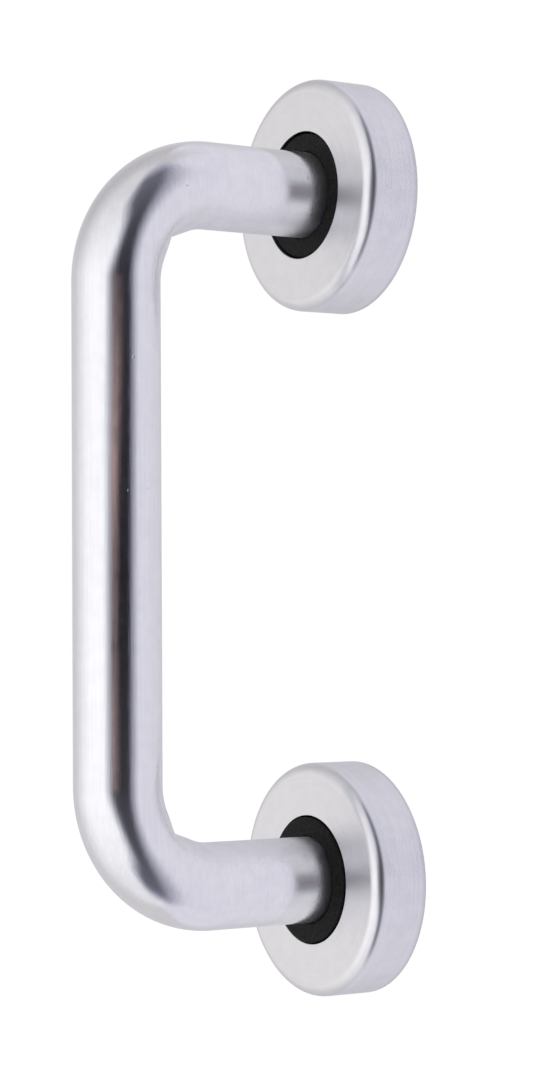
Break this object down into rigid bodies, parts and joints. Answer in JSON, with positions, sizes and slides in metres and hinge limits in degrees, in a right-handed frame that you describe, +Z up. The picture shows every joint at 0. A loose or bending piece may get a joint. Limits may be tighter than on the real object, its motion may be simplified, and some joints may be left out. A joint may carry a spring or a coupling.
{
  "type": "d pull handle",
  "caption": "Round-bar D pull handle in satin aluminium on round roses; loose rose covers slide along the legs to reach concealed door screws in black inner roses.",
  "frame": {"origin": "on the door face, midway between the two roses", "axes": "+Z up along the grip, +Y into the door, +X to the right when facing the door"},
  "size_m": [0.0516, 0.072, 0.2036],
  "materials": {
    "bar_aluminium": "satin anodised",
    "cover_aluminium": "satin anodised, fine turned grain",
    "black_nylon": "moulded, matt",
    "screw_steel": "bright zinc plated"
  },
  "bodies": {
    "handle": {"grip_bar": "bar_aluminium", "upper_inner_rose": "black_nylon", "lower_inner_rose": "black_nylon", "bar_screws": "screw_steel"},
    "upper_cover": {"upper_rose_cover": "cover_aluminium"},
    "lower_cover": {"lower_rose_cover": "cover_aluminium"}
  },
  "joints": [
    {"name": "upper_cover_slide", "type": "slide", "parent": "handle", "child": "upper_cover", "axis": [0, -1, 0], "range_m": [-0.001, 0.034]},
    {"name": "lower_cover_slide", "type": "slide", "parent": "handle", "child": "lower_cover", "axis": [0, -1, 0], "range_m": [0, 0.035]}
  ]
}
